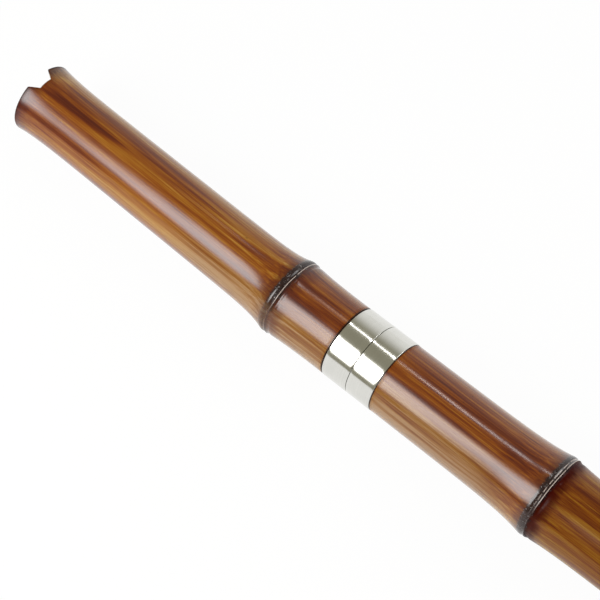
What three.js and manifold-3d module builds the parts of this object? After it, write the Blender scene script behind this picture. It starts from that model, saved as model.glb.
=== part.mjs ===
// An end-blown bamboo flute in two sections, lying on its back with the finger holes up.
// Millimetres, +Z up. The mouth end points to -X and the root end to +X.
// The two sections are joined by a round metal tenon that slides and turns in a metal socket.

import * as THREE from "three";
import { mergeVertices } from "three/addons/utils/BufferGeometryUtils.js";
import Module from "manifold-3d";

const wasm = await Module();
wasm.setup();

// Lengths along the culm, from the mouth end to the root end.
const mouthInternodeLength = 129.9;
const jointInternodeLength = 119.1;
const fingerInternodeLength = 110;
const lowerInternodeLength = 111;
const firstRootLength = 40;
const secondRootLength = 26;
const thirdRootLength = 20;
const footLength = 23.8;

// Outer radius of the culm at the mouth side of each internode, and what it gains per unit of length.
const mouthCulmRadius = 13.05;
const jointCulmRadius = 14.25;
const fingerCulmRadius = 14.95;
const lowerCulmRadius = 15.5;
const firstRootCulmRadius = 16.5;
const secondRootCulmRadius = 17.9;
const thirdRootCulmRadius = 19.4;
const footCulmRadius = 20.9;
const culmTaper = 0.0027;

// Outer radius over the crest of each node, and over the flared mouth rim, which is cut at a node.
const mouthRimRadius = 14.3;
const firstRidgeRadius = 15.45;
const secondRidgeRadius = 16.45;
const thirdRidgeRadius = 16.9;
const fourthRidgeRadius = 17.6;
const fifthRidgeRadius = 18.9;
const sixthRidgeRadius = 20.3;
const seventhRidgeRadius = 21.9;

// How fast a node's swelling falls away on either side: the distance over which it drops to a third.
const sharpFallLength = 5.5;
const softFallLength = 8.5;
const rootFallLength = 5;

// The node's crest is followed, on the root side, by a groove and the thin ring left by the sheath.
const crestDistance = 1.9;
const grooveDistance = 0.7;
const grooveDepth = 0.4;
const ringDepth = 0.12;
const stationGap = 0.35;

// The culm bends a little at its nodes: sideways by these angles, and upwards so that its back lies flat.
const firstNodeBow = THREE.MathUtils.degToRad(1.27);
const secondNodeBow = THREE.MathUtils.degToRad(0.35);
const thirdNodeBow = THREE.MathUtils.degToRad(0.55);
const fourthNodeBow = THREE.MathUtils.degToRad(0.5);
const bendLength = 16;

// Radius of the bore at the mouth, through the joint, at its narrowest and at the foot.
const mouthBoreRadius = 10;
const jointBoreRadius = 9.2;
const waistBoreRadius = 8.2;
const footBoreRadius = 9.6;
const waistPlaceShare = 0.9;
const diaphragmHeight = 0.5;
const diaphragmLength = 3;

// The metal joint: a ferrule on the end of each section, a tenon in the upper and a socket in the lower.
const seamDistance = 37.6;
const upperFerruleLength = 11;
const lowerFerruleLength = 10.6;
const ferruleRadius = 14.5;
const ferruleWall = 0.9;
const ferruleEdgeWidth = 0.25;
const tenonWall = 0.8;
const tenonRootLength = 22;
const tenonReachLength = 25;
const socketWall = 0.8;
const socketSpareLength = 1.75;
const glueGap = 0.15;
const slideGap = 0.1;
const seamGap = 0.25;
const endGap = 0.3;
const upperShoulderGap = 0.45;
const lowerShoulderGap = 0.3;
const leadInDepth = 0.35;

// The blowing notch in the front of the mouth rim. It is cut at a slant, deeper at the bore, and leaves
// a sharp blowing edge at the outside.
const notchRimWidth = 9.8;
const notchFloorWidth = 5.3;
const notchDepth = 3.8;
const notchScoopLength = 1.7;
const rimEdgeWidth = 0.4;

// Finger holes: four in front and the thumb hole behind, each placed as a share of its internode.
const holeRadius = 5;
const holeChamferWidth = 0.7;
const thumbHoleShare = 0.895;
const fourthHoleShare = 0.309;
const thirdHoleShare = 0.821;
const secondHoleShare = 0.332;
const firstHoleShare = 0.846;

// Stubs of the trimmed roots: a row behind each root node's ring, and a second row in the foot.
const stubRadius = 2.6;
const stubTopRadius = 2;
const stubHeight = 0.75;
const stubRootDepth = 2;
const stubRowDistance = 4.6;
const footRowDistance = 12.4;
const stubsPerRow = 12;
const stubSides = 7;

const footEdgeWidth = 1.4;
const cutOverrunLength = 2;
const facets = 36;
const holeFacets = 24;
const hairlineLength = 0.01;

const lacqueredBamboo = new THREE.MeshStandardMaterial({ color: 0x8a4a1c, roughness: 0.28, metalness: 0 });
const nickelSilver = new THREE.MeshStandardMaterial({ color: 0xcfcfc4, roughness: 0.3, metalness: 1 });
const drawnBrass = new THREE.MeshStandardMaterial({ color: 0xc9a758, roughness: 0.32, metalness: 1 });

// A length of culm below a node: its length and radius, the node's ridge, and how its swelling falls away.
function internode(length, radius, ridge, before, after) {
  return { length, radius, ridge, before, after };
}

// The mouth rim counts as the culm's first node, cut through its middle.
const internodes = [
  internode(mouthInternodeLength, mouthCulmRadius, mouthRimRadius, softFallLength, softFallLength),
  internode(jointInternodeLength, jointCulmRadius, firstRidgeRadius, sharpFallLength, softFallLength),
  internode(fingerInternodeLength, fingerCulmRadius, secondRidgeRadius, softFallLength, softFallLength),
  internode(lowerInternodeLength, lowerCulmRadius, thirdRidgeRadius, softFallLength, softFallLength),
  internode(firstRootLength, firstRootCulmRadius, fourthRidgeRadius, softFallLength, rootFallLength),
  internode(secondRootLength, secondRootCulmRadius, fifthRidgeRadius, rootFallLength, rootFallLength),
  internode(thirdRootLength, thirdRootCulmRadius, sixthRidgeRadius, rootFallLength, rootFallLength),
  internode(footLength, footCulmRadius, seventhRidgeRadius, rootFallLength, rootFallLength),
];
let placed = 0;
for (const stretch of internodes) {
  stretch.start = placed;
  placed += stretch.length;
}
const fluteLength = placed;
const [, firstNode, secondNode, thirdNode, fourthNode, fifthNode, sixthNode, seventhNode] = internodes;
const rootNodes = [fifthNode, sixthNode, seventhNode];
const seam = firstNode.start + seamDistance;
const upperShoulder = seam - upperFerruleLength;
const lowerShoulder = seam + lowerFerruleLength;
const upperEnd = seam - seamGap / 2;
const lowerEnd = seam + seamGap / 2;
const seatRadius = ferruleRadius - ferruleWall - glueGap;
const tenonRadius = jointBoreRadius + tenonWall;
const socketRadius = tenonRadius + slideGap + socketWall;
const socketLength = tenonReachLength - seamGap + socketSpareLength;
const waistPlace = secondNode.start + waistPlaceShare * (fourthNode.start - secondNode.start);

// Radius of the bare culm, without its nodes, at a distance from the mouth.
function culmRadius(distance) {
  const within = internodes.findLast(({ start }) => start <= distance) ?? internodes[0];
  return within.radius + culmTaper * (distance - within.start);
}

// Radius of the culm where it meets a node, on the node's mouth side or on its root side.
function radiusBeside(node, side) {
  const before = internodes[internodes.indexOf(node) - 1];
  return side < 0 && before ? before.radius + culmTaper * before.length : node.radius;
}

// A node's swelling falls away exponentially on both sides of its crest.
function swelling(node, distance) {
  const fromCrest = distance - (node.start ? node.start - crestDistance : node.start);
  const height = node.ridge - radiusBeside(node, fromCrest);
  return height * Math.exp(-Math.abs(fromCrest) / (fromCrest < 0 ? node.before : node.after));
}

// Outer radius at a distance from the mouth: the culm and the swelling of the nearest nodes.
function outerRadius(distance) {
  const crest = (node) => (node.start ? node.start - crestDistance : node.start);
  const next = internodes.find((node) => crest(node) > distance);
  const last = internodes.findLast((node) => crest(node) <= distance);
  const base = last && distance < last.start ? radiusBeside(last, 1) : culmRadius(distance);
  return base + (last ? swelling(last, distance) : 0) + (next ? swelling(next, distance) : 0);
}

// Distances at which the outer profile has a point: close together on a node, far apart between nodes.
const swellShares = [0.35, 0.9, 2.1];
function nodeStations(node) {
  if (!node.start) return swellShares.map((share) => [share * node.after, 0]);
  const crest = node.start - crestDistance;
  const groove = node.start - grooveDistance;
  return [
    ...swellShares.map((share) => [crest - share * node.before, 0]),
    [crest, 0],
    [groove, -grooveDepth],
    [node.start, -ringDepth],
    ...swellShares.map((share) => [node.start + share * node.after, 0]),
  ];
}

// Profile points [radius, distance] of the outside between two distances, ends included.
function outerProfile(from, to) {
  const clear = crestDistance - grooveDistance;
  const stations = internodes
    .flatMap(nodeStations)
    .filter(([distance]) => distance > from + clear && distance < to - clear)
    .sort(([a], [b]) => a - b)
    .filter(([distance], index, all) => !index || distance - all[index - 1][0] > stationGap);
  const all = [[from, 0], ...stations, [to, 0]];
  return all.map(([distance, step]) => [crestRadius(distance) + step, distance]);
}

// The crest, groove and ring of a node stand on the crest's own height.
function crestRadius(distance) {
  const beside = ({ start }) => start && distance >= start - crestDistance && distance <= start;
  const node = internodes.find(beside);
  return node ? node.ridge : outerRadius(distance);
}

// Radius of the bore: a long taper to the joint, on to the waist, and out again to the foot.
function boreRadius(distance) {
  const { mapLinear } = THREE.MathUtils;
  if (distance < seam) return mapLinear(distance, 0, seam, mouthBoreRadius, jointBoreRadius);
  if (distance < waistPlace) return mapLinear(distance, seam, waistPlace, jointBoreRadius, waistBoreRadius);
  return mapLinear(distance, waistPlace, fluteLength, waistBoreRadius, footBoreRadius);
}

// Profile points of the bore, with the low stub of a bored-out diaphragm at each node.
function boreProfile(from, to) {
  const stubs = internodes.slice(1).flatMap(({ start }) => [
    [start - diaphragmLength, 0],
    [start, -diaphragmHeight],
    [start + diaphragmLength, 0],
  ]);
  const clear = ([distance]) => distance > from + diaphragmLength && distance < to - diaphragmLength;
  const all = [[from, 0], ...stubs.filter(clear), [to, 0]];
  return all.map(([distance, step]) => [boreRadius(distance) + step, distance]);
}

// How far a straight stretch has moved aside after a bend of one radian, eased over the bend's length.
function ramp(distance) {
  if (distance <= -bendLength / 2) return 0;
  if (distance >= bendLength / 2) return distance;
  return (distance + bendLength / 2) ** 2 / (2 * bendLength);
}

// Sideways and upward bends at the nodes. The stretch that holds the joint stays straight.
const risingNodes = [secondNode, thirdNode, fourthNode, fifthNode, sixthNode, seventhNode];
const rises = risingNodes.slice(1).map((node, index) => {
  const before = risingNodes[index];
  return (node.ridge - before.ridge) / (node.start - before.start);
});
const bends = [
  { place: firstNode.start, side: -1, aside: Math.tan(firstNodeBow), up: 0 },
  { place: secondNode.start, side: 1, aside: Math.tan(secondNodeBow), up: rises[0] },
  { place: thirdNode.start, side: 1, aside: Math.tan(thirdNodeBow), up: rises[1] - rises[0] },
  { place: fourthNode.start, side: 1, aside: Math.tan(fourthNodeBow), up: rises[2] - rises[1] },
  { place: fifthNode.start, side: 1, aside: 0, up: rises[3] - rises[2] },
  { place: sixthNode.start, side: 1, aside: 0, up: rises[4] - rises[3] },
];

// Centre of the culm at a distance from the mouth.
function culmCentre(distance) {
  const centre = new THREE.Vector3(distance, 0, secondRidgeRadius);
  for (const { place, side, aside, up } of bends) {
    const moved = ramp(side * (distance - place));
    centre.y += aside * moved;
    centre.z += up * moved;
  }
  return centre;
}

// Moves a straight geometry, with the culm along X, onto the bent centre line.
function bend(geometry) {
  const position = geometry.getAttribute("position");
  const point = new THREE.Vector3();
  for (let index = 0; index < position.count; index++) {
    point.fromBufferAttribute(position, index);
    const centre = culmCentre(point.x);
    const along = culmCentre(point.x + hairlineLength).sub(culmCentre(point.x - hairlineLength)).normalize();
    const across = new THREE.Vector3(-along.y, along.x, 0).normalize();
    const upward = along.clone().cross(across);
    centre.addScaledVector(across, point.y).addScaledVector(upward, point.z);
    position.setXYZ(index, centre.x, centre.y, centre.z);
  }
  return geometry;
}

// A closed solid of a geometry whose vertices are merged.
function solidOf(geometry) {
  const bare = geometry.index ? geometry.toNonIndexed() : geometry;
  bare.deleteAttribute("normal");
  bare.deleteAttribute("uv");
  const merged = mergeVertices(bare);
  const { array } = merged.getAttribute("position");
  return new wasm.Manifold(
    new wasm.Mesh({ numProp: 3, vertProperties: array, triVerts: new Uint32Array(merged.index.array) }),
  );
}

// A geometry of a solid, for a mesh of the scene.
function geometryOf(solid) {
  const { vertProperties, triVerts } = solid.getMesh();
  const geometry = new THREE.BufferGeometry();
  geometry.setAttribute("position", new THREE.BufferAttribute(vertProperties, 3));
  geometry.setIndex(new THREE.BufferAttribute(triVerts, 1));
  geometry.computeVertexNormals();
  return geometry;
}

// A round piece on the culm's axis, from a closed outline of [radius, distance] points.
function turned(outline, sides = facets) {
  const points = [...outline, outline[0]].map(([radius, distance]) => new THREE.Vector2(radius, distance));
  const lathe = new THREE.LatheGeometry(points, sides, Math.PI / sides);
  return lathe.rotateZ(-Math.PI / 2);
}

// The notch cutter: a block with the notch's outline, leaning so that it reaches further at the bore.
function notchCutter() {
  const surface = outerRadius(notchDepth);
  const lowest = mouthBoreRadius - 1.5 * cutOverrunLength;
  const highest = mouthRimRadius + cutOverrunLength;
  const lean = notchScoopLength / (surface - mouthBoreRadius);
  const narrowing = (notchRimWidth - notchFloorWidth) / 2 / notchDepth;
  const front = -cutOverrunLength - lean * (surface - lowest);
  const halfWidth = (distance) => notchRimWidth / 2 - narrowing * distance;
  const outline = new THREE.Shape([
    new THREE.Vector2(front, -halfWidth(front)),
    new THREE.Vector2(notchDepth, -halfWidth(notchDepth)),
    new THREE.Vector2(notchDepth, halfWidth(notchDepth)),
    new THREE.Vector2(front, halfWidth(front)),
  ]);
  const block = new THREE.ExtrudeGeometry(outline, { depth: highest - lowest, bevelEnabled: false });
  block.translate(0, 0, lowest - surface);
  block.applyMatrix4(new THREE.Matrix4().makeShear(0, 0, 0, 0, -lean, 0)).translate(0, 0, surface);
  return solidOf(bend(block));
}

// A finger hole with an eased rim, bored at a distance from the mouth, in front (1) or behind (-1).
function holeCutter(distance, side) {
  const surface = outerRadius(distance);
  const outline = [
    [0, 0],
    [holeRadius, 0],
    [holeRadius, surface - holeChamferWidth],
    [holeRadius + holeChamferWidth, surface],
    [holeRadius + holeChamferWidth, surface + cutOverrunLength],
    [0, surface + cutOverrunLength],
  ].map(([radius, height]) => new THREE.Vector2(radius, height));
  const drill = new THREE.LatheGeometry(outline, holeFacets).rotateX((side * Math.PI) / 2);
  return solidOf(bend(drill.translate(distance, 0, 0)));
}

// One row of root stubs around the culm: short cones that stand a little proud of it.
function rootStubs(distance, row) {
  const top = outerRadius(distance) + stubHeight;
  const height = stubHeight + stubRootDepth;
  return Array.from({ length: stubsPerRow }, (_, index) => {
    const angle = ((index + (row % 2) / 2) / stubsPerRow) * 2 * Math.PI;
    const cone = new THREE.CylinderGeometry(stubTopRadius, stubRadius, height, stubSides);
    cone.translate(0, top - height / 2, 0).rotateX(angle).translate(distance, 0, 0);
    return solidOf(bend(cone));
  });
}

// Upper section: mouth rim, first node, and the turned-down end that carries the ferrule and the tenon.
function upperTube() {
  const outside = outerProfile(rimEdgeWidth, upperShoulder - upperShoulderGap);
  const shoulder = upperShoulder - upperShoulderGap;
  const counterbore = upperEnd - tenonRootLength - endGap;
  const outline = [
    [mouthRimRadius - rimEdgeWidth, 0],
    ...outside,
    [seatRadius, shoulder],
    [seatRadius, upperEnd],
    [tenonRadius + glueGap, upperEnd],
    [tenonRadius + glueGap, counterbore],
    ...boreProfile(rimEdgeWidth, counterbore).reverse(),
    [mouthBoreRadius + rimEdgeWidth, 0],
  ];
  return solidOf(bend(turned(outline))).subtract(notchCutter());
}

// Lower section: the socket end, the finger holes, and the root end with its crowded nodes.
function lowerTube() {
  const shoulder = lowerShoulder + lowerShoulderGap;
  const counterbore = lowerEnd + socketLength + endGap;
  const footRadius = outerRadius(fluteLength);
  const outline = [
    [seatRadius, lowerEnd],
    [seatRadius, shoulder],
    ...outerProfile(shoulder, fluteLength - footEdgeWidth),
    [footRadius - footEdgeWidth, fluteLength],
    [footBoreRadius + rimEdgeWidth, fluteLength],
    ...boreProfile(counterbore, fluteLength - rimEdgeWidth).reverse(),
    [socketRadius + glueGap, counterbore],
    [socketRadius + glueGap, lowerEnd],
  ];
  let tube = solidOf(bend(turned(outline)));
  const rows = rootNodes.map(({ start }) => start + stubRowDistance);
  rows.push(seventhNode.start + footRowDistance);
  for (const stub of rows.flatMap(rootStubs)) tube = tube.add(stub);
  const holes = [
    [firstNode.start + thumbHoleShare * jointInternodeLength, -1],
    [secondNode.start + fourthHoleShare * fingerInternodeLength, 1],
    [secondNode.start + thirdHoleShare * fingerInternodeLength, 1],
    [thirdNode.start + secondHoleShare * lowerInternodeLength, 1],
    [thirdNode.start + firstHoleShare * lowerInternodeLength, 1],
  ];
  for (const [distance, side] of holes) tube = tube.subtract(holeCutter(distance, side));
  return tube;
}

// A ferrule between two distances, its outer corners eased.
function ferrule(from, to) {
  const inside = ferruleRadius - ferruleWall;
  return turned([
    [inside, from],
    [ferruleRadius - ferruleEdgeWidth, from],
    [ferruleRadius, from + ferruleEdgeWidth],
    [ferruleRadius, to - ferruleEdgeWidth],
    [ferruleRadius - ferruleEdgeWidth, to],
    [inside, to],
  ]);
}

// The tenon is rooted in the upper section and tapers a little at its free end, to lead into the socket.
function tenon() {
  const from = upperEnd - tenonRootLength;
  const to = upperEnd + tenonReachLength;
  return turned([
    [jointBoreRadius, from],
    [tenonRadius, from],
    [tenonRadius, to - leadInDepth],
    [tenonRadius - leadInDepth, to],
    [jointBoreRadius, to],
  ]);
}

// The socket lines the lower section. Its mouth is eased to let the tenon in.
function socket() {
  const inside = tenonRadius + slideGap;
  return turned([
    [inside + leadInDepth, lowerEnd],
    [socketRadius, lowerEnd],
    [socketRadius, lowerEnd + socketLength],
    [inside, lowerEnd + socketLength],
    [inside, lowerEnd + leadInDepth],
  ]);
}

function piece(name, geometry, material) {
  const mesh = new THREE.Mesh(geometry, material);
  mesh.name = name;
  return mesh;
}

const flute = new THREE.Group();
flute.add(
  piece("upper_tube", geometryOf(upperTube()), lacqueredBamboo),
  piece("upper_ferrule", bend(ferrule(upperShoulder, upperEnd)), nickelSilver),
  piece("tenon_sleeve", bend(tenon()), drawnBrass),
  piece("socket_sleeve", bend(socket()), drawnBrass),
  piece("lower_ferrule", bend(ferrule(lowerEnd, lowerShoulder)), nickelSilver),
  piece("lower_tube", geometryOf(lowerTube()), lacqueredBamboo),
);

// The origin is on the ground, under the middle of the flute.
const extent = new THREE.Box3().setFromObject(flute, true);
const middle = extent.getCenter(new THREE.Vector3());
for (const mesh of flute.children) mesh.position.set(-middle.x, -middle.y, -extent.min.z);

export default flute;
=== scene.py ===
# An end-blown flute of lacquered bamboo in two sections, lying on its back with its finger holes up.
# The culm's form and its finish come first, because several pieces share them. Each section after those is a
# piece of the flute, or two that go together, and the last one is the studio.
import math

import bpy
import numpy as np
from mathutils import Matrix, Vector


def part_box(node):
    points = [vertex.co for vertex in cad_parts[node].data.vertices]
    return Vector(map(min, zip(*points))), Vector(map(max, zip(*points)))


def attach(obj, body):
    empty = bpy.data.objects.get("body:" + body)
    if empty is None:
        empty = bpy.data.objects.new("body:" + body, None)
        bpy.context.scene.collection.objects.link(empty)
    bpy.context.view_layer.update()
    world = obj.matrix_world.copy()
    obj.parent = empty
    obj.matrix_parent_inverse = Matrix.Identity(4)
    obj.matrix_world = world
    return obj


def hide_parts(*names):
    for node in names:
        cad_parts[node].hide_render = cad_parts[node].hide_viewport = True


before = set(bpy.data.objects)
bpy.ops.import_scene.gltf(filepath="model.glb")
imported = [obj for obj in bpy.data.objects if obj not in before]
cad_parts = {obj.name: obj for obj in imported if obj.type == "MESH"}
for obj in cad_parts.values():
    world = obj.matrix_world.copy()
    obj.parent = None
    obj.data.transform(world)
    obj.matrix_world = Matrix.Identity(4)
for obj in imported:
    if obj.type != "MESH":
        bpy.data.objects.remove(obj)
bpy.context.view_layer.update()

# The culm
# One length of root-end bamboo, straightened over heat and cut in two for the joint. Its skin is left on, and
# its nodes stand proud of it. Sizes are in millimetres along and around the culm, counted from the mouth end.
node_places = np.array([0, 129.9, 249, 359, 470, 510, 536, 556])
flute_length = 579.8
culm_radii = np.array([13.05, 14.25, 14.95, 15.5, 16.5, 17.9, 19.4, 20.9])
ridge_radii = np.array([14.3, 15.45, 16.45, 16.9, 17.6, 18.9, 20.3, 21.9])
fall_before = np.array([8.5, 5.5, 8.5, 8.5, 8.5, 5, 5, 5])
fall_after = np.array([8.5, 8.5, 8.5, 8.5, 5, 5, 5, 5])
culm_taper = 0.0027
crest_places = np.where(node_places > 0, node_places - 1.9, 0)
crest_round = 0.5
foot_node = len(node_places) - 1

seam = 167.5
half_gap = 0.125
upper_end, lower_end = seam - half_gap, seam + half_gap
upper_shoulder, lower_shoulder = seam - 11.45, seam + 10.9
upper_band_start, lower_band_end = seam - 11, seam + 10.72
seat_radius = 13.45
tenon_pocket, tenon_pocket_radius = 145.075, 10.15
socket_pocket, socket_pocket_radius = 194.425, 11.05
bore_places = [0, seam, 447.9, flute_length]
bore_radii = [10, 9.2, 8.2, 9.6]
diaphragm_height, diaphragm_half = 0.5, 3

# Small forms on each node: its leaf sheath's thin ring, the groove before it and the shallow dip after it.
# Each is a bell curve: where its middle lies past the ring, its half length and its height.
node_forms = [(0, 0.27, 0.14), (-0.8, 0.32, -0.4), (1.3, 0.7, -0.2)]

bend_places = node_places[1:7]
bend_sides = np.array([-1, 1, 1, 1, 1, 1])
bend_aside = np.tan(np.radians([1.27, 0.35, 0.55, 0.5, 0, 0]))
climbs = np.diff(ridge_radii[2:]) / np.diff(node_places[2:])
bend_up = np.concatenate([[0, climbs[0]], np.diff(climbs)])[:6]
bend_length = 16

# The culm is placed by the middle of the upper band's box, which the frame gives in metres.
ferrule_low, ferrule_high = (np.array(corner) * 1000 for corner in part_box("upper_ferrule"))
ferrule_middle = (upper_band_start + upper_end) / 2
culm_origin = (ferrule_low + ferrule_high) / 2 - np.array([ferrule_middle, 0, ridge_radii[2]])


def culm_centre(place):
    """Centre line. It is straight but for a bend at each node: past a bend it moves aside by the bend's slope
    times the distance from it, and over the bend's own length that distance is a parabola."""
    past = bend_sides * (place[..., None] - bend_places)
    eased = np.maximum(past + bend_length / 2, 0) ** 2 / (2 * bend_length)
    moved = np.where(past < bend_length / 2, eased, past)
    centre = np.stack([place, (bend_aside * moved).sum(-1), ridge_radii[2] + (bend_up * moved).sum(-1)], -1)
    return centre + culm_origin


def on_culm(place, radius, turn):
    """Point at a place along the culm, a radius and a turn from its front: the centre line there, plus the
    radius times the turn's sine across and its cosine up, both square to the centre line."""
    place, radius, turn = np.broadcast_arrays(np.asarray(place, float), radius, turn)
    short_way = 0.01
    along = culm_centre(place + short_way) - culm_centre(place - short_way)
    along /= np.linalg.norm(along, axis=-1, keepdims=True)
    across = np.stack([-along[..., 1], along[..., 0], 0 * along[..., 0]], -1)
    across /= np.linalg.norm(across, axis=-1, keepdims=True)
    up = np.cross(along, across)
    aside, raised = radius * np.sin(turn), radius * np.cos(turn)
    return culm_centre(place) + aside[..., None] * across + raised[..., None] * up


def nearest_node(place):
    """The node whose place lies nearest, the sawn one at the mouth included."""
    return node_places[np.abs(np.asarray(place, float)[..., None] - node_places).argmin(-1)]


def grown_place(place, turn):
    """Place, shifted near a node so that the node's ring, which wavers round the culm, lies at the node's own
    place: less a sum of three sines of the turn, which dies out away from the node."""
    waver = 0.2 * np.sin(turn + place / 100) + 0.1 * np.sin(3 * turn + 1.9) + 0.05 * np.sin(7 * turn)
    fade = 9
    node = nearest_node(place)
    return place - (node > 0) * waver * np.exp(-np.abs(place - node) / fade)


def skin_radius(place, turn):
    """Radius of the skin: the culm's radius and taper, plus a swelling that falls away exponentially on both
    sides of each node's rounded crest, plus the bell curves of the node's small forms, plus two low sines of
    the turn, because a culm is a little out of round."""
    place = grown_place(place, turn)
    node = nearest_node(place)
    last = np.clip(np.searchsorted(crest_places, place, side="right") - 1, 0, foot_node)
    inside = np.clip(np.searchsorted(node_places, place, side="right") - 1, 0, foot_node)
    following = np.minimum(last + 1, foot_node)
    lengths = node_places[following] - node_places[following - 1]
    growth = culm_taper * (place - node_places[inside])
    radius = np.where(place < node_places[last], culm_radii[last], culm_radii[inside] + growth)
    behind = np.hypot(place - crest_places[last], crest_round) - crest_round
    ahead = np.hypot(crest_places[following] - place, crest_round) - crest_round
    height_ahead = ridge_radii[following] - culm_radii[following - 1] - culm_taper * lengths
    radius = radius + (ridge_radii[last] - culm_radii[last]) * np.exp(-behind / fall_after[last])
    radius = radius + (last < foot_node) * height_ahead * np.exp(-ahead / fall_before[following])
    past_ring = place - node
    bells = sum(height * np.exp(-(((past_ring - middle) / half) ** 2)) for middle, half, height in node_forms)
    radius = radius + (node > 0) * bells
    return radius + 0.05 * np.sin(2 * turn + 0.8 + place / 190) + 0.03 * np.sin(5 * turn + 2.1 + place / 70)


def bore_radius(place):
    """Radius of the bore: straight tapers between the mouth, the joint, the waist and the foot, less the low
    stub, pointed like a roof, that is left of the diaphragm at each node."""
    node = nearest_node(place)
    stub = np.maximum(1 - np.abs(place - node) / diaphragm_half, 0) * (node > 0)
    return np.interp(place, bore_places, bore_radii) - diaphragm_height * stub


def stations(start, end, spacing, close):
    """Places from start to end at an even spacing, with more every 2 mm within 20 mm of each node, and closer
    ones on and beside it. Places that almost coincide with the one before are left out."""
    fine = [np.arange(node - 5.5, node + 6, close) for node in node_places[1:]]
    middling = [np.arange(node - 20, node + 20, 2) for node in node_places[1:]]
    every = np.sort(np.concatenate([np.arange(start, end, spacing), *fine, *middling]))
    every = every[(every > start + close / 2) & (every < end - close / 2)]
    every = every[np.diff(every, prepend=start) > close / 3]
    return np.concatenate([[start], every, [end]])


def closed_grid(rows, columns):
    """Quads that join neighbouring rows and columns of a grid. Its last row is joined to its first too, and
    its last column to its first."""
    row, column = np.meshgrid(np.arange(rows), np.arange(columns), indexing="ij")
    below, beside = (row + 1) % rows, (column + 1) % columns
    return np.stack([row, below, below, row], -1) * columns + np.stack([column, column, beside, beside], -1)


def piece_on_culm(name, points, faces, body, slot, *nodes, finishes, rows=0, **fields):
    """A piece from points given by place, radius and turn. Each vertex keeps its straightened point as the
    attribute "culm" and its grown place as "grown". More fields become attributes too: on bamboo,
    "stain" is how dark the stain, and the light and shade painted among its patches, make it
    there, and "edge" how far off the nearest cut edge is. Lengths are in millimetres.
    The finishes read the attributes, and rows says which of the finishes each face has."""
    place, radius, turn = (values.ravel() for values in np.broadcast_arrays(*points))
    mesh = bpy.data.meshes.new(name)
    mesh.from_pydata(on_culm(place, radius, turn) / 1000, [], faces)
    straight = np.stack([place, radius * np.sin(turn), radius * np.cos(turn)], -1)
    mesh.attributes.new("culm", "FLOAT_VECTOR", "POINT").data.foreach_set("vector", straight.ravel())
    fields.update(grown=grown_place(place, turn))
    for label, values in fields.items():
        values = np.ascontiguousarray(np.broadcast_to(values, place.shape), float)
        mesh.attributes.new(label, "FLOAT", "POINT").data.foreach_set("value", values)
    for finish in finishes:
        mesh.materials.append(finish.owner)
    mesh.polygons.foreach_set("material_index", np.broadcast_to(rows, len(faces)).astype(np.int32))
    mesh.polygons.foreach_set("use_smooth", np.ones(len(faces), bool))
    mesh.set_sharp_from_angle(angle=math.radians(38))
    piece = bpy.data.objects.new(name, mesh)
    bpy.context.scene.collection.objects.link(piece)
    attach(piece, body)
    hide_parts(*nodes)


# Lacquered bamboo
# The skin is stained red brown and has brown streaks along its fibres. The maker scorches each node almost
# black, and the scorch runs out along the fibres. Clear lacquer covers it all, the bore and the cut ends too.
class Wire:
    """A socket of a node. Python's operators on it add Math nodes to its finish."""

    def __init__(self, finish, socket):
        self.finish, self.socket = finish, socket

    def math(self, operation, *values):
        """A Math node on the values."""
        return self.finish.add("ShaderNodeMath", dict(enumerate(values)), operation=operation)

    def __add__(self, other):
        return self.math("ADD", self, other)

    def __sub__(self, other):
        return self.math("SUBTRACT", self, other)

    def __rsub__(self, other):
        return self.math("SUBTRACT", other, self)

    def __mul__(self, other):
        return self.math("MULTIPLY", self, other)

    def __truediv__(self, other):
        return self.math("DIVIDE", self, other)

    __radd__, __rmul__ = __add__, __mul__

    def between(self, low, high):
        """0 below low and 1 above high, with a smooth step in between. Where low is the greater of the two,
        it is the other way round."""
        values = {"Value": self, "From Min": low, "From Max": high}
        return self.finish.add("ShaderNodeMapRange", values, interpolation_type="SMOOTHSTEP")


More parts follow.
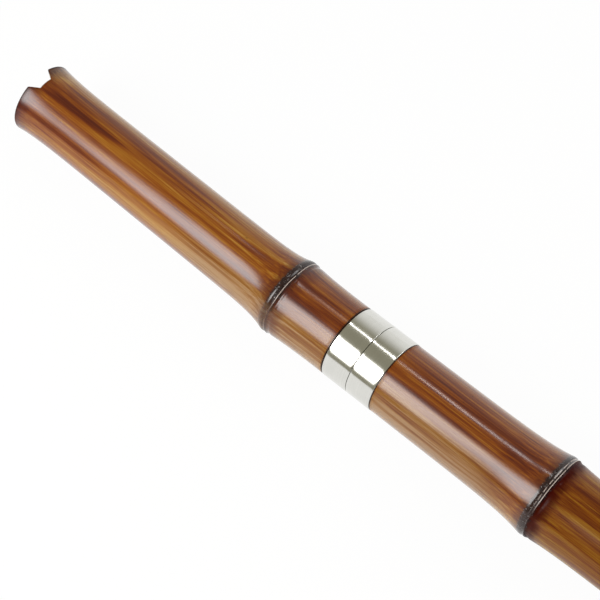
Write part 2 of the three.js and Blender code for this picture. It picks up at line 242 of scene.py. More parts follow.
class Finish:
    """The nodes of a material, a world or a lamp. A Principled BSDF's sockets are set by number, and all
    other nodes come from add()."""

    def __init__(self, owner, **numbers):
        owner.use_nodes = True
        self.owner, self.tree = owner, owner.node_tree
        for socket, value in numbers.items():
            self.tree.nodes["Principled BSDF"].inputs[socket.replace("_", " ")].default_value = value

    def add(self, kind, inputs, out=0, stops=(), ease="LINEAR", **settings):
        """A node of any type, with its settings, its colour stops, and its inputs' values or wires."""
        node = self.tree.nodes.new(kind)
        for name, value in settings.items():
            setattr(node, name, value)
        if stops:
            node.color_ramp.interpolation = ease
        for index, (place, colour) in enumerate(stops):
            ramp = node.color_ramp.elements
            element = ramp[0] if index == 0 else ramp[-1] if place == 1 else ramp.new(place)
            element.position, element.color = place, (*colour, 1)
        for name, value in inputs.items():
            if isinstance(value, Wire):
                self.tree.links.new(value.socket, node.inputs[name])
            else:
                node.inputs[name].default_value = value
        return Wire(self, node.outputs[out])

    def feed(self, name, wire, node="Principled BSDF"):
        """Links a wire to a socket of the shader, or of another node that is there already."""
        self.tree.links.new(wire.socket, self.tree.nodes[node].inputs[name])

    def counted(self, vector, sizes):
        """The vector, counted in the given size along each axis."""
        inputs = {0: vector, 1: tuple(1 / size for size in sizes)}
        return self.add("ShaderNodeVectorMath", inputs, operation="MULTIPLY")

    def noise(self, vector, sizes, detail=2, rough=0.5):
        """Noise of 0 to 1 whose grains have the given size along each axis."""
        inputs = {"Vector": self.counted(vector, sizes), "Scale": 1.0, "Detail": detail, "Roughness": rough}
        return self.add("ShaderNodeTexNoise", inputs)

    def cells(self, vector, sizes):
        """Distance from the middle of the nearest cell, where cells have the given size along each axis."""
        return self.add("ShaderNodeTexVoronoi", {"Vector": self.counted(vector, sizes), "Scale": 1.0})

    def mix(self, factor, first, second, blend="MIX"):
        """A mix of two colours, each a wire or three numbers. The node has sockets for other data too, so its
        colours are its inputs 6 and 7 and its output 2."""
        first, second = (side if isinstance(side, Wire) else (*side, 1) for side in (first, second))
        inputs = {0: factor, 6: first, 7: second}
        return self.add("ShaderNodeMix", inputs, out=2, data_type="RGBA", blend_type=blend)

    def relief(self, height, strength, distance):
        """Feeds the normal from a height of about 0 to 1. The distance, in metres, is how far 1 stands up."""
        inputs = {"Strength": strength, "Distance": distance, "Height": height}
        self.feed("Normal", self.add("ShaderNodeBump", inputs))


# Darker and lighter patches: place, turn in degrees, half length, half width, depth. Most are what the stain
# left. Three are painted light and shade. The long dark one at turn -37 is painted shade: it darkens the
# flank that catches the front light's highlight, to temper the light there. The light ones at turns -88 and
# 45 are
# painted light: they brighten the flank towards the front light around the joint and the upper flank of the
# upper section, as if more light fell there.
patches = np.array([
    (24, -2, 22, 0.9, 1.3), (22, -8, 17, 0.8, 1.0), (2, -53, 2.5, 1.8, 1.0), (4, 35, 7, 5, -0.6),
    (14, 9, 14, 1.2, 0.4), (22, -53, 20, 1.4, 1.0), (30, -22, 26, 2.5, -0.2),
    (95, -52, 22, 0.5, 0.5), (70, 12, 24, 1.0, 0.5), (100, -4, 24, 0.8, 0.45), (118, 2, 12, 2.0, 0.35),
    (139, -17, 11, 2.2, 0.6), (141, 4, 12, 1.6, 0.55), (203, 5, 23, 1.6, 0.5), (206, -24, 25, 0.8, 0.7),
    (190, -58, 20, 0.7, 0.5), (237, -12, 9, 13, 0.45), (262, -20, 16, 0.8, 0.6), (270, 10, 20, 1.2, 0.6),
    (30, -30, 60, 16, 0.3), (190, -88, 72, 9, -0.9), (130, -37, 85, 3.4, 0.5), (150, -12, 20, 3, 0.3),
    (100, -78, 30, 8, -0.4), (203, -65, 24, 4, -0.6), (1, 26, 5, 4.5, -0.8), (0.5, -62, 2, 11, 0.7),
    (60, 45, 75, 6, -0.45), (40, -27, 45, 5, -0.35), (143, 10, 14, 1.6, 0.6),
])
mean_radius = 14.5


def stain_depth(place, turn):
    """Sum over the patches of each one's depth times e to the minus of two terms: the fourth power of the way
    along the culm in half lengths, and the square of the way round it in half widths."""
    along = (place[..., None] - patches[:, 0]) / patches[:, 2]
    around = (turn[..., None] - np.radians(patches[:, 1]) + np.pi) % (2 * np.pi) - np.pi
    around = around * mean_radius / patches[:, 3]
    return (patches[:, 4] * np.exp(-(along ** 4) - around ** 2)).sum(-1)


def field(finish, name, out="Fac"):
    """Wire from an attribute of the mesh."""
    return finish.add("ShaderNodeAttribute", {}, out=out, attribute_name=name)


bamboo = Finish(
    bpy.data.materials.new("lacquered_bamboo"), Specular_IOR_Level=0.04, Coat_Roughness=0.18, Coat_IOR=1.5)
culm = field(bamboo, "culm", "Vector")
grown, stain, edge = (field(bamboo, name) for name in ("grown", "stain", "edge"))

# A ramp over the whole length gives the place of the nearest node. The mouth has no ring, so there the place
# is one far off.
ramp_length = 600
middles = np.concatenate([[0], (node_places[1:] + node_places[:-1]) / 2]) / ramp_length
nodes_with_rings = [-ramp_length, *node_places[1:]]
nearest = bamboo.add("ShaderNodeValToRGB", {"Fac": grown / ramp_length}, ease="CONSTANT", stops=[
    (float(middle), (node / ramp_length,) * 3) for middle, node in zip(middles, nodes_with_rings)])
from_ring = grown - nearest * ramp_length

# The stain's tone follows bands, streaks, fibres and single dark hairs along the grain.
bands = bamboo.noise(culm, (130, 4.6, 4.6), 3, 0.55)
streaks = bamboo.noise(culm, (60, 1.3, 1.3), 4, 0.62)
fibres = bamboo.noise(culm, (30, 0.55, 0.55), 3, 0.7)
hairs = bamboo.noise(culm, (34, 0.55, 0.55), 1, 0.5).between(0.63, 0.74)
grain = (bands - 0.5) * 1.5 + (streaks - 0.5) * 1.1 + (fibres - 0.5) * 1.1
tone = grain + 0.57 - stain * (0.2 + streaks * 0.5)
brown = bamboo.add("ShaderNodeValToRGB", {"Fac": tone - hairs * 0.22}, stops=[
    (0.0, (0.07, 0.008, 0.0004)), (0.25, (0.12, 0.02, 0.0006)), (0.5, (0.205, 0.052, 0.001)),
    (0.75, (0.285, 0.11, 0.008)), (1.0, (0.375, 0.195, 0.04)),
])

# It is a little redder before the second node and more olive after it. Along one side of the middle, where
# the front light's highlight falls, it is greyer: a painted sheen that turns that highlight beige grey.
red_tint, olive_tint, sheen_grey_tint = (0.78, 0.55, 0.6), (0.75, 0.82, 0.3), (0.87, 0.96, 2.0)
redder = grown.between(150, 175) * grown.between(252, 246)
brown = bamboo.mix(redder * 0.1, brown, red_tint, "MULTIPLY")
olive = grown.between(246, 256)
brown = bamboo.mix(olive * 0.6, brown, olive_tint, "MULTIPLY")
across = bamboo.add("ShaderNodeSeparateXYZ", {0: culm}, out="Y")
painted_sheen = across.between(-4, -9) * grown.between(70, 100) * grown.between(245, 225)
brown = bamboo.mix(painted_sheen, brown, sheen_grey_tint, "MULTIPLY")

# The scorch lies on both sides of a node's ring and runs out along the fibres. The first node is scorched
# less, and one side of it is almost spared.
smoked, burnt_red = (0.08, 0.01, 0.001), (0.036, 0.001, 0.0003)
singed, soot_black = (0.06, 0.007, 0.001), (0.008, 0.003, 0.004)
run_out = bamboo.noise(culm, (9, 1.0, 1.0), 3, 0.6)
patchy = bamboo.noise(culm, (4, 3.2, 3.2), 2, 0.5)
heat = grown.between(140, 180)
reach = from_ring - ((run_out - 0.45) * 8 + (patchy - 0.5) * 5) * (1 - heat * 0.45)
smudge = from_ring.between(-0.3, 0.3) * reach.between(8, 2.5)
burnt = from_ring.between(-0.3, 0.3) * (reach / (heat * 0.55 + 0.55)).between(5.5, 1.2) * (heat * 0.25 + 0.75)
spared = across.between(-8, -14) * (1 - heat * 0.85)
burnt = burnt * (1 - spared * 0.5)
before = (from_ring + (run_out - 0.5) * 5).between(-7.5, -2.4) * from_ring.between(0.6, -0.2)
brown = bamboo.mix(smudge * 0.6, brown, smoked)
brown = bamboo.mix(burnt * 0.95, brown, burnt_red)
brown = bamboo.mix(before * (0.75 - spared * 0.35), brown, singed)

# On the ring itself it is black and rough, with grey flecks painted in as the glints of light on its rough
# bark. The ring's crest is rubbed bare in a thin line, with a second one beside it from the second node on.
# Both lines are also a painted glint: paler than bare bamboo, they fade out along one side of the culm.
bark = bamboo.noise(culm, (0.8, 0.45, 0.45), 2, 0.6)
soot = (from_ring + (run_out - 0.5) * 1.6).between(-3.4, -2.4)
soot = soot * (from_ring + (patchy - 0.5) * 3).between(1.2, 0)
scorch = soot * (1 - spared * 0.5) * (0.7 + bark * 0.5)
brown = bamboo.mix(scorch * 0.96, brown, soot_black)
glint_fleck_grey, rubbed_bare_and_glint = (0.3, 0.26, 0.26), (0.58, 0.48, 0.44)
glint_flecks = scorch * bark.between(0.58, 0.7) * (patchy.between(0.42, 0.56) * 0.6 + 0.25)
brown = bamboo.mix(glint_flecks, brown, glint_fleck_grey)
ring_line = from_ring.between(-0.18, -0.05) * from_ring.between(0.2, 0.08) * patchy.between(0.3, 0.4)
second_line = from_ring.between(-1.2, -1.05) * from_ring.between(-0.8, -0.95) * heat
lines = (ring_line + second_line * run_out.between(0.4, 0.5)) * across.between(-14, -7)
brown = bamboo.mix(lines * 0.9, brown, rubbed_bare_and_glint)

# A few dark specks are scattered over it. The eased edges are darker, but for the shaved one in the notch.
speck_brown, edge_brown, shaved_tan = (0.03, 0.008, 0.002), (0.022, 0.006, 0.003), (0.45, 0.36, 0.28)
speck = bamboo.cells(culm, (9, 5, 5)).between(0.075, 0.03) * patchy.between(0.5, 0.6)
brown = bamboo.mix(speck * 0.75, brown, speck_brown)
brown = bamboo.mix(edge.between(0.5, 0.15) * 0.9, brown, edge_brown)
shaved = grown.between(1.5, 2.5) * grown.between(6, 5) * edge.between(0.36, 0.2)
brown = bamboo.mix(shaved * 0.8, brown, shaved_tan)
bamboo.feed("Base Color", brown)
bamboo.feed("Roughness", 0.28 + streaks * 0.12 + scorch * 0.12)
lacquer = (1 - olive * 0.5) * (1 - burnt * heat * 0.95) * (1 - edge.between(1.8, 0.5) * 0.5)
bamboo.feed("Coat Weight", lacquer)
grooves = bamboo.noise(culm, (110, 0.75, 0.75), 1, 0.5)
height = bands * 0.5 + streaks * 0.4 + fibres * 0.07 + grooves * 0.55 + scorch * bark * 2.4
bamboo.relief(height, 0.6, 0.00022)

# Where the culm is cut, its vascular bundles show, as dots on a cross section and as lines in a hole's wall.
cut = Finish(bpy.data.materials.new("cut_bamboo"), Coat_Weight=0.4, Coat_Roughness=0.15)
cut_culm = field(cut, "culm", "Vector")
bundle = cut.cells(cut_culm, (14, 0.62, 0.62))
cut_cloud = cut.noise(cut_culm, (9, 2.4, 2.4), 3, 0.55)
dark_ground, pale_ground, bundle_brown = (0.075, 0.022, 0.006), (0.2, 0.08, 0.025), (0.022, 0.007, 0.003)
ground = cut.mix(cut_cloud, dark_ground, pale_ground)
cut.feed("Base Color", cut.mix(bundle.between(0.42, 0.2) * 0.85, ground, bundle_brown))
cut.feed("Roughness", 0.3 + cut_cloud * 0.16)
cut.relief(bundle, 0.4, 0.00008)

# The bore is brushed with dark red brown lacquer, which pools a little between the brush's strokes.
bore_coat = Finish(bpy.data.materials.new("bore_lacquer"), Coat_Weight=0.5, Coat_Roughness=0.08)
bore_culm = field(bore_coat, "culm", "Vector")
strokes = bore_coat.noise(bore_culm, (30, 1.1, 1.1), 3, 0.6)
pools = bore_coat.noise(bore_culm, (11, 5, 5), 2, 0.5)
thick_lacquer, thin_lacquer = (0.022, 0.0045, 0.003), (0.075, 0.014, 0.006)
bore_coat.feed("Base Color", bore_coat.mix(pools, thick_lacquer, thin_lacquer))
bore_coat.feed("Roughness", 0.16 + strokes * 0.12)
bore_coat.relief(strokes * 0.6 + pools * 0.6, 0.4, 0.0001)

# Upper section of the culm
# Its mouth end is sawn through a node, eased and open, with a notch cut at a slant through the front of the
# rim. Its lower end is turned down for the metal band and bored out for the tenon.
notch_half, notch_floor_half, notch_depth, notch_lean, notch_height = 4.9, 2.65, 3.8, 0.44, 13.86
corners = np.radians([11.0, 11.3, 11.6, 20.1, 20.6, 21.1])
upper_turns = np.sort(np.concatenate([np.linspace(-np.pi, np.pi, 241)[:-1], corners, -corners]))
bore_ease = 0.4
rim_bore = bore_radii[0] + bore_ease
rows_slant_to, bore_slants_to = 18, 22


def notch_edge(radius, turn):
    """How far down the culm the notch reaches at a radius and turn. Its outline is a trapezoid, so that is
    the lesser of the floor's depth and the slanted side's, plus the lean for each unit nearer the bore."""
    across, up = radius * np.sin(turn), radius * np.cos(turn)
    side = (notch_half - np.abs(across)) * notch_depth / (notch_half - notch_floor_half)
    reached = np.minimum(side, notch_depth) + notch_lean * (notch_height - up)
    return np.where(up > 0, np.maximum(reached, 0), 0)


# The notch's floor has a longer and shallower ease. The rim's radius and its edge depend on each other, so
# the edge is worked out twice, first from a rough radius.
floor_share = np.clip((0.23 - np.abs(upper_turns)) / 0.04, 0, 1)
ease_length, ease_depth = 0.4 + 0.3 * floor_share, 0.4 - 0.1 * floor_share
rim_edge = notch_edge(13.75, upper_turns)
rim_radius = skin_radius(rim_edge + ease_length, upper_turns) - ease_depth
rim_edge = notch_edge(rim_radius, upper_turns)
bore_edge = notch_edge(rim_bore, upper_turns)
quarter = np.linspace(0, np.pi / 2, 6)[:, None]
skin_from = rim_edge + ease_length
shares = np.linspace(0, 1, 24)[1:-1, None] ** 1.4
upper_skin = np.concatenate([
    skin_from + shares * (rows_slant_to - skin_from),
    stations(rows_slant_to, upper_shoulder, 1.8, 0.3)[:, None] + 0 * upper_turns,
])
turned_end = np.array([
    (upper_shoulder, seat_radius), (upper_end, seat_radius), (upper_end, tenon_pocket_radius),
    (tenon_pocket, tenon_pocket_radius),
])
diaphragm_rows = node_places[1] + diaphragm_half * np.array([1, 0, -1])
bore_from = bore_edge + bore_ease
bore_rows = np.concatenate([
    np.array([tenon_pocket, *diaphragm_rows, 100, 70, 40, bore_slants_to])[:, None] + 0 * upper_turns,
    bore_from + np.array([[0.6], [0.3], [0.1]]) * (bore_slants_to - bore_from),
])
face_radii = rim_bore + np.linspace(0, 1, 9)[1:-1, None] * (rim_radius - rim_bore)
upper_place = np.concatenate([
    rim_edge + ease_length * (1 - np.cos(quarter)), upper_skin, turned_end[:, :1] + 0 * upper_turns,
    bore_rows, bore_edge + bore_ease * (1 - np.sin(quarter)), notch_edge(face_radii, upper_turns),
])
upper_radius = np.concatenate([
    rim_radius + ease_depth * np.sin(quarter), skin_radius(upper_skin, upper_turns + 0 * upper_skin),
    turned_end[:, 1:] + 0 * upper_turns, bore_radius(bore_rows),
    bore_radii[0] + bore_ease * (1 - np.cos(quarter)) + 0 * upper_turns, face_radii,
])
upper_faces = closed_grid(*upper_place.shape)
skin, sawn, bored = 0, 1, 2
upper_kinds = np.full(len(upper_place), skin)
upper_kinds[len(quarter) + len(upper_skin):] = sawn
first_bore = len(quarter) + len(upper_skin) + len(turned_end)
upper_kinds[first_bore: first_bore + len(bore_rows)] = bored
piece_on_culm(
    "upper_culm", (upper_place, upper_radius, upper_turns), upper_faces.reshape(-1, 4).tolist(),
    "upper_section", "lacquered_bamboo", "upper_tube", finishes=(bamboo, cut, bore_coat),
    rows=upper_kinds.repeat(len(upper_turns)),
    stain=stain_depth(upper_place, upper_turns + 0 * upper_place).ravel(),
    edge=np.minimum(upper_place - rim_edge, upper_shoulder - upper_place).ravel())

# Upper band
# The upper section's turned-down end carries a band of nickel silver, cut from tube, pressed on and turned
# true. The tool leaves fine rings, and a rub with fine abrasive gives the band a satin shine.
nickel = Finish(bpy.data.materials.new("nickel_silver"), Metallic=1.0)
band_culm = field(nickel, "culm", "Vector")
rings = nickel.noise(band_culm, (0.07, 40, 40), 2, 0.6)
broad_rings = nickel.noise(band_culm, (0.45, 50, 50), 2, 0.6)
clouds = nickel.noise(band_culm, (6, 6, 6), 2, 0.5)
scratches = nickel.noise(band_culm, (0.22, 14, 14), 2, 0.5)
dull, bright = (0.61, 0.605, 0.57), (0.8, 0.795, 0.75)
nickel.feed("Base Color", nickel.mix(clouds * 0.5 + broad_rings * 0.5, dull, bright))
nickel.feed("Roughness", 0.1 + broad_rings * 0.015 + clouds * 0.04)
nickel.relief(rings * 0.7 + scratches * 0.2 + broad_rings * 0.1, 0.06, 0.00001)

tube_turns = np.linspace(-np.pi, np.pi, 145)[:-1]


def tube(name, start, end, inside, outside, ease, body, slot, node, finish):
    """A length of tube: a rectangle with two rounded outer corners, turned about the culm's centre line. The
    rounding has its own depth at each end."""
    arc = np.linspace(0, np.pi / 2, 5)
    middle = np.linspace(start + ease[0], end - ease[1], 10)[1:-1]
    place = np.concatenate([
        [start], start + ease[0] * (1 - np.sin(arc[::-1])), middle, end - ease[1] * (1 - np.sin(arc)), [end],
    ])
    radius = np.concatenate([
        [inside], outside - ease[0] * (1 - np.cos(arc[::-1])), 0 * middle + outside,
        outside - ease[1] * (1 - np.cos(arc)), [inside],
    ])
    faces = closed_grid(len(place), len(tube_turns)).reshape(-1, 4).tolist()
    points = place[:, None], radius[:, None], tube_turns
    piece_on_culm(name, points, faces, body, slot, node, finishes=(finish,))


band_inside, band_outside = 13.6, 14.5
band_ease = (0.16, 0.16)
half_line = 0.09
tube("upper_band", upper_band_start, seam - half_line, band_inside, band_outside, band_ease, "upper_section",
     "nickel_silver", "upper_ferrule", nickel)

# Tenon and socket
# Two lengths of drawn brass tube, each glued into a pocket that is bored into the end of its section. The
# tenon slides and turns in the socket with a tenth of a millimetre round it.
brass = Finish(bpy.data.materials.new("drawn_brass"), Metallic=1.0)
brass_culm = field(brass, "culm", "Vector")
draw_marks = brass.noise(brass_culm, (30, 0.4, 0.4), 3, 0.6)
tarnish = brass.noise(brass_culm, (8, 8, 8), 3, 0.55)
dull_brass, bright_brass = (0.62, 0.43, 0.17), (0.78, 0.58, 0.26)
brass.feed("Base Color", brass.mix(tarnish, dull_brass, bright_brass))
brass.feed("Roughness", 0.22 + draw_marks * 0.14 + tarnish * 0.1)
brass.relief(draw_marks, 0.3, 0.00002)
tenon_start, tenon_end, socket_floor = upper_end - 22, upper_end + 25, lower_end + 26.5
tenon_inside, tenon_outside, socket_inside, socket_outside = 9.2, 10, 10.1, 10.9
tube("tenon_tube", tenon_start, tenon_end, tenon_inside, tenon_outside, (0.1, 0.4), "tenon",
     "drawn_brass", "tenon_sleeve", brass)
tube("socket_tube", lower_end, socket_floor, socket_inside, socket_outside, (0.1, 0.1), "lower_section",
     "drawn_brass", "socket_sleeve", brass)

# Lower band
# The lower section's turned-down end carries a band of the same nickel silver tube. Both are turned together,
# so only a hairline shows where they meet.
tube("lower_band", seam + half_line, lower_band_end, band_inside, band_outside, band_ease, "lower_section",
     "nickel_silver", "lower_ferrule", nickel)

# Lower section of the culm
# It has four finger holes in front and a thumb hole behind, each drilled and then eased at its edge. Its foot
# is the root end, where the nodes crowd together.
hole_radius, hole_ease, hole_ease_depth = 5, 0.75, 0.7
holes = [(236.49, -np.pi), (282.99, 0), (339.31, 0), (395.85, 0), (452.91, 0)]
columns = 144
column_width = 2 * np.pi / columns
lower_turns = np.arange(columns) * column_width - np.pi

# Round each hole, the grids of skin and bore are bent from a square window to a ring on the hole's edge. The
# steps run from the hole's middle to that ring and to the window's side, and a reach is half a window long.
ring_steps, skin_steps, bore_steps = 7, 12, 17
window_radius = 15.4
skin_reach, bore_reach = skin_steps * column_width * window_radius, 8.5


def with_windows(rows, reach, steps):
    """Rows in which those near a hole give way to evenly spaced ones, which run from one side of the hole to
    the other."""
    for place, _ in holes:
        rows = rows[np.abs(rows - place) > reach + 0.3]
        rows = np.concatenate([rows, place + reach * np.arange(-steps, steps + 1) / steps])
    return np.sort(rows)


def round_square(row, column):
    """Turns a point on a square's edge, in steps from its middle, into an angle: each side is a quarter turn,
    and the angle grows evenly along it."""
    level = np.maximum(np.maximum(np.abs(row), np.abs(column)), 1)
    steep = np.abs(column) > np.abs(row)
    flat_angle = np.pi / 4 * column / np.where(row == 0, 1, row) + np.pi * (row < 0)
    steep_angle = np.pi / 2 - np.pi / 4 * row / np.where(column == 0, 1, column) + np.pi * (column < 0)
    return level, np.where(steep, steep_angle, flat_angle)


foot_ease = 1.4
skin_end = flute_length - foot_ease
skin_rows = with_windows(stations(lower_shoulder, skin_end, 6, 0.45), skin_reach, skin_steps)
node_rows = (node_places[2:, None] + diaphragm_half * np.array([-1, 0, 1])).ravel()
bore_rows = np.concatenate([[205, 305, 420, flute_length - bore_ease], node_rows])
bore_rows = with_windows(bore_rows, bore_reach, bore_steps)[::-1]
foot_radius = float(skin_radius(skin_end, 0))
quarter = np.linspace(0, np.pi / 2, 6)[1:]
foot = np.concatenate([
    np.stack([flute_length - foot_ease * (1 - np.sin(quarter)),
              foot_radius - foot_ease * (1 - np.cos(quarter))], -1),
    np.stack([np.full(7, flute_length), np.linspace(foot_radius - foot_ease, 10, 8)[1:]], -1),
    [(flute_length - 0.12, 9.72)],
])
socket_end = np.array([
    (socket_pocket, bore_radius(socket_pocket)), (socket_pocket, socket_pocket_radius),
    (lower_end, socket_pocket_radius), (lower_end, seat_radius), (lower_shoulder, seat_radius),
])
row_places = np.concatenate([skin_rows, foot[:, 0], bore_rows, socket_end[:, 0]])
lower_place, lower_turn = (grid.copy() for grid in np.meshgrid(row_places, lower_turns, indexing="ij"))
first_bore = len(skin_rows) + len(foot)
last_bore = first_bore + len(bore_rows)
square = np.arange(ring_steps * 2) - ring_steps
edge_row = np.concatenate([square, 0 * square + ring_steps, -square, 0 * square - ring_steps])
edge_column = np.concatenate([0 * square - ring_steps, square, 0 * square + ring_steps, -square])
edge_angle = round_square(edge_row, edge_column)[1]
cells = closed_grid(*lower_place.shape)
kept = np.ones(lower_place.shape, bool)
edges = []
for hole_place, hole_turn in holes:
    skin_here, bore_here = float(skin_radius(hole_place, hole_turn)), float(bore_radius(hole_place))
    wall_radius = skin_here - hole_ease_depth
    for first, last, steps, reach, sense in ((0, len(skin_rows), skin_steps, skin_reach, 1),
                                             (first_bore, last_bore, bore_steps, bore_reach, -1)):
        middle_row = first + int(np.abs(row_places[first:last] - hole_place).argmin())
        middle_column = int(round((hole_turn + np.pi) / column_width))
        row, column = np.meshgrid(np.arange(-steps, steps + 1), np.arange(-steps, steps + 1), indexing="ij")
        level, angle = round_square(row, column)
        if sense > 0:
            ring_place = (hole_radius + hole_ease) * np.cos(angle)
            ring_turn = (hole_radius + hole_ease) * np.sin(angle) / skin_here
        else:
            ring_place = hole_radius * np.cos(angle)
            ring_turn = np.arcsin(wall_radius * np.sin(hole_radius * np.sin(angle) / skin_here) / bore_here)
        share = np.clip((level - ring_steps) / (steps - ring_steps), 0, 1)
        index = middle_row + sense * row, (middle_column + column) % columns
        turn_reach = column_width * steps
        lower_place[index] = hole_place + ring_place + (reach * row / level - ring_place) * share
        lower_turn[index] = hole_turn + ring_turn + (turn_reach * column / level - ring_turn) * share
        kept[np.ix_(middle_row + square, (middle_column + square) % columns)] = False
        edges.append((middle_row + sense * edge_row) * columns + (middle_column + edge_column) % columns)
lower_radius = np.concatenate([
    skin_radius(lower_place[: len(skin_rows)], lower_turn[: len(skin_rows)]), foot[:, 1:] + 0 * lower_turns,
    bore_radius(lower_place[first_bore:last_bore]), socket_end[:, 1:] + 0 * lower_turns,
])

# A hole's wall is a strip of rings: the eased edge is a quarter round, and below it the wall is straight.
ease = np.linspace(0, np.pi / 2, 6)[1:, None]
wall_place, wall_radii, wall_turn, wall_cells = [], [], [], []
count, ring_count = lower_place.size, len(edge_angle)
for (hole_place, hole_turn), skin_edge, bore_edge_here in zip(holes, edges[::2], edges[1::2]):
    skin_here = float(skin_radius(hole_place, hole_turn))
    wide = hole_radius + hole_ease * (1 - np.sin(ease))
    place = hole_place + wide * np.cos(edge_angle)
    turn = hole_turn + wide * np.sin(edge_angle) / skin_here
    radius = skin_radius(place, turn) - hole_ease_depth * (1 - np.cos(ease))
    aside = radius[-1] * np.sin(turn[-1] - hole_turn)
    top = radius[-1] * np.cos(turn[-1] - hole_turn)
    low = np.sqrt(bore_radius(place[-1]) ** 2 - aside ** 2)
    height = top + np.array([[0.3], [0.65]]) * (low - top)
    place = np.concatenate([place, place[-1] + 0 * height])
    turn = np.concatenate([turn, hole_turn + np.arctan2(aside, height)])
    radius = np.concatenate([radius, np.hypot(aside, height)])
    inner_rings = count + np.arange(place.size).reshape(-1, ring_count)
    every_ring = np.concatenate([skin_edge[None], inner_rings, bore_edge_here[None]])
    following = np.roll(every_ring, -1, axis=1)
    quads = np.stack([every_ring[:-1], following[:-1], following[1:], every_ring[1:]], -1)
    wall_cells.append(quads.reshape(-1, 4))
    wall_place.append(place.ravel())
    wall_turn.append(turn.ravel())
    wall_radii.append(radius.ravel())
    count += place.size
kinds = np.full(lower_place.shape, skin)
kinds[len(skin_rows) + len(quarter) - 1: first_bore] = sawn
kinds[first_bore: last_bore] = bored
kinds[last_bore:] = sawn
wall_kinds = np.repeat(np.repeat([skin, sawn], [len(ease), 3]), ring_count)
kinds = np.concatenate([kinds[kept], *[wall_kinds] * len(holes)])
cells = np.concatenate([cells[kept], *wall_cells])
used, cells = np.unique(cells, return_inverse=True)
place, radius, turn = (
    np.concatenate([grid.ravel(), *walls])[used]
    for grid, walls in ((lower_place, wall_place), (lower_radius, wall_radii), (lower_turn, wall_turn)))
from_edges = [flute_length - place, place - lower_shoulder]
for hole_place, hole_turn in holes:
    aside = (turn - hole_turn + np.pi) % (2 * np.pi) - np.pi
    from_edges.append(np.hypot(place - hole_place, radius * aside) - hole_radius - hole_ease)
piece_on_culm(
    "lower_culm", (place, radius, turn), cells.reshape(-1, 4).tolist(), "lower_section", "lacquered_bamboo",
    "lower_tube", finishes=(bamboo, cut, bore_coat), rows=kinds, stain=stain_depth(place, turn),
    edge=np.min(from_edges, axis=0))

# Root stubs
# Rootlets grew in rings beside the crowded nodes. They are sawn and filed off a little proud of the culm, and
# lacquered with it.
stubs_round, stub_sides = 12, 20
stub_places, stub_shift = np.array([[514.6, 540.6, 560.6, 568.4], [0, 0.5, 0, 0.5]])[..., None]
stub_place, stub_turn = (values.reshape(-1, 1, 1) for values in np.broadcast_arrays(
    stub_places, (np.arange(stubs_round) + stub_shift) * 2 * np.pi / stubs_round))
stub_angle = np.arange(stub_sides) * 2 * np.pi / stub_sides
stub_wide = np.array([2.75, 2.6, 2.42, 2.22, 1.95, 1.2, 0.5])[:, None]
stub_rise = np.array([-0.7, 0.0, 0.5, 0.7, 0.78, 0.74, 0.7])[:, None]
oval = 0.07 * np.sin(2 * stub_angle + stub_place * 3 + stub_turn * 5)
cornered = 0.05 * np.sin(3 * stub_angle + stub_turn * 9)
uneven = 1 + oval + cornered
stub_culm = skin_radius(stub_place, stub_turn)
stub_points = (
    stub_place + stub_wide * uneven * np.cos(stub_angle),
    stub_culm + stub_rise + 0 * stub_angle,
    stub_turn + stub_wide * uneven * np.sin(stub_angle) / stub_culm,
)

# A stub's side is quads between its rings of points, and its top and bottom are one many-sided face each.
stub_rings = len(stub_wide)
stub_size = stub_rings * stub_sides
ring, step = np.meshgrid(np.arange(stub_rings - 1) * stub_sides, np.arange(stub_sides), indexing="ij")
beside = (step + 1) % stub_sides
one_stub = np.stack([ring + step, ring + beside, ring + stub_sides + beside, ring + stub_sides + step], -1)
offsets = np.arange(stub_place.size)[:, None, None] * stub_size
stub_faces = (one_stub.reshape(-1, 4) + offsets).reshape(-1, 4).tolist()
stub_faces += (np.arange(stub_size - stub_sides, stub_size) + offsets[:, 0]).tolist()
stub_faces += (np.arange(stub_sides)[::-1] + offsets[:, 0]).tolist()
stub_stain = np.interp(stub_wide, [1.7, 2.5], [0.1, 1.9]) + 0 * stub_points[0]
far_from_edges = 9
piece_on_culm(
    "root_stubs", stub_points, stub_faces, "lower_section", "lacquered_bamboo", "lower_tube",
    finishes=(bamboo,), stain=stub_stain.ravel(), edge=far_from_edges)

# Floor, lights and camera
# The flute lies on a white studio floor. A large soft light stands in front of its mouth end, a narrow one in
# three lengths hangs above it, and two weaker ones fill in from behind and from its foot. White surroundings
# give the culm its pale edges and the metal its bright parts.
bpy.ops.mesh.primitive_plane_add(size=8, location=(0, 0, -0.0003))
floor = bpy.context.object
floor.name = "floor"
paper = Finish(bpy.data.materials.new("studio_paper"))
white_to = ("Camera", "Glossy", "Transmission")
seen = sum(paper.add("ShaderNodeLightPath", {}, out=f"Is {ray} Ray") for ray in white_to)
lit = paper.add("ShaderNodeBsdfDiffuse", {"Color": (0.85, 0.85, 0.85, 1)})
white = paper.add("ShaderNodeEmission", {"Color": (1, 1, 1, 1), "Strength": 1.0})
paper.feed("Surface", paper.add("ShaderNodeMixShader", {0: seen * 0.96, 1: lit, 2: white}), "Material Output")
floor.data.materials.append(paper.owner)

sky = Finish(bpy.data.worlds.new("studio"))
bpy.context.scene.world = sky.owner
facing = sky.add("ShaderNodeTexCoord", {}, out="Generated")
backward = sky.add("ShaderNodeSeparateXYZ", {0: facing}, out="Y")
room_grey, backdrop_white = (0.3, 0.285, 0.215), (0.97, 0.97, 0.96)
sky.feed("Color", sky.mix(backward.between(0.5, 1.06), room_grey, backdrop_white), "Background")
sky.tree.nodes["Background"].inputs["Strength"].default_value = 1


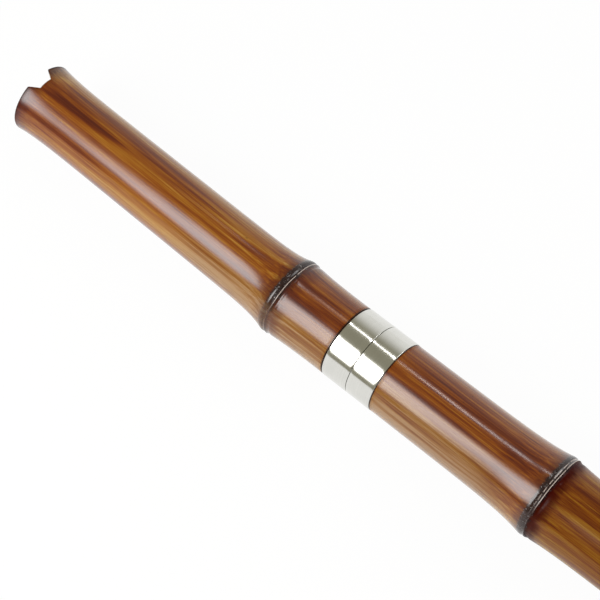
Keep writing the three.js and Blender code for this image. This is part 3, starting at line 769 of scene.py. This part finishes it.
def softbox(name, centre, target, first_axis, sizes, radiance, fades=((0.1, 0.1), (0.1, 0.1))):
    """An area light that faces its target, turned so that its first side follows the given axis. Its power is
    the radiance wanted, times pi, times its area. Its strength rises smoothly from each of its edges, over a
    share of the side of its own: fades gives the two ends of the first side, then those of the second."""
    lamp = bpy.data.lights.new(name, "AREA")
    lamp.shape, lamp.size, lamp.size_y = "RECTANGLE", *sizes
    lamp.energy = radiance * math.pi * sizes[0] * sizes[1]
    cloth = Finish(lamp)
    spot = cloth.add("ShaderNodeNewGeometry", {}, out="Parametric")
    strength = 1
    for axis, fade in zip("XY", fades):
        share = cloth.add("ShaderNodeSeparateXYZ", {0: spot}, out=axis)
        strength = share.between(0, fade[0]) * share.between(1, 1 - fade[1]) * strength
    cloth.feed("Strength", strength, "Emission")
    box = bpy.data.objects.new(name, lamp)
    bpy.context.scene.collection.objects.link(box)
    back = (Vector(centre) - Vector(target)).normalized()
    side = (Vector(first_axis) - back * back.dot(Vector(first_axis))).normalized()
    turned = Matrix((side, back.cross(side), back)).transposed().to_4x4()
    box.matrix_world = Matrix.Translation(centre) @ turned


softbox("front_softbox", (-0.375, -0.4525, 0.4085), (-0.375, 0, 0.016), (1, -0.23, -0.28), (0.465, 0.59), 8.6,
        ((0.27, 0.2), (0.3, 0.25)))

# The metal mirrors the middle length of the narrow light, so that one is dimmer. Each has its place along the
# flute and aside from it, its length and its radiance.
strips = {
    "left": (-0.385, 0.262, 0.06, 24),
    "middle": (-0.318, 0.239, 0.07, 3.5),
    "right": (-0.235, 0.21, 0.09, 24),
}
strip_height, strip_width = 0.597, 0.05
for name, (place, aside, length, radiance) in strips.items():
    softbox(f"ceiling_strip_{name}", (place, aside, strip_height), (place + 0.16, 0, 0.02), (1, -0.35, 0),
            (length, strip_width), radiance, ((0.2, 0.2), (0.5, 0.5)))
softbox("back_softbox", (0.32, 0.42, 0.42), (-0.1, 0, 0.02), (0, 0, 1), (0.4, 0.5), 3.9)
softbox("side_softbox", (0.5, -0.4, 0.28), (-0.05, 0, 0.02), (0, 0, 1), (0.35, 0.45), 0.6)

camera_data = bpy.data.cameras.new("camera")
camera_data.sensor_width, camera_data.lens = 36, 132
camera = bpy.data.objects.new("camera", camera_data)
bpy.context.scene.collection.objects.link(camera)
camera_place = (0.09697621, -0.29375779, 0.71068401)
camera_right = Vector((0.75127565, 0.65998856, 0.0))
camera_back = Vector((0.32130788, -0.36574995, 0.87349197))
axes = Matrix((camera_right, camera_back.cross(camera_right), camera_back)).transposed().to_4x4()
camera.matrix_world = Matrix.Translation(camera_place) @ axes
bpy.context.scene.camera = camera
bpy.context.scene.view_settings.view_transform = "Standard"

bpy.context.view_layer.update()
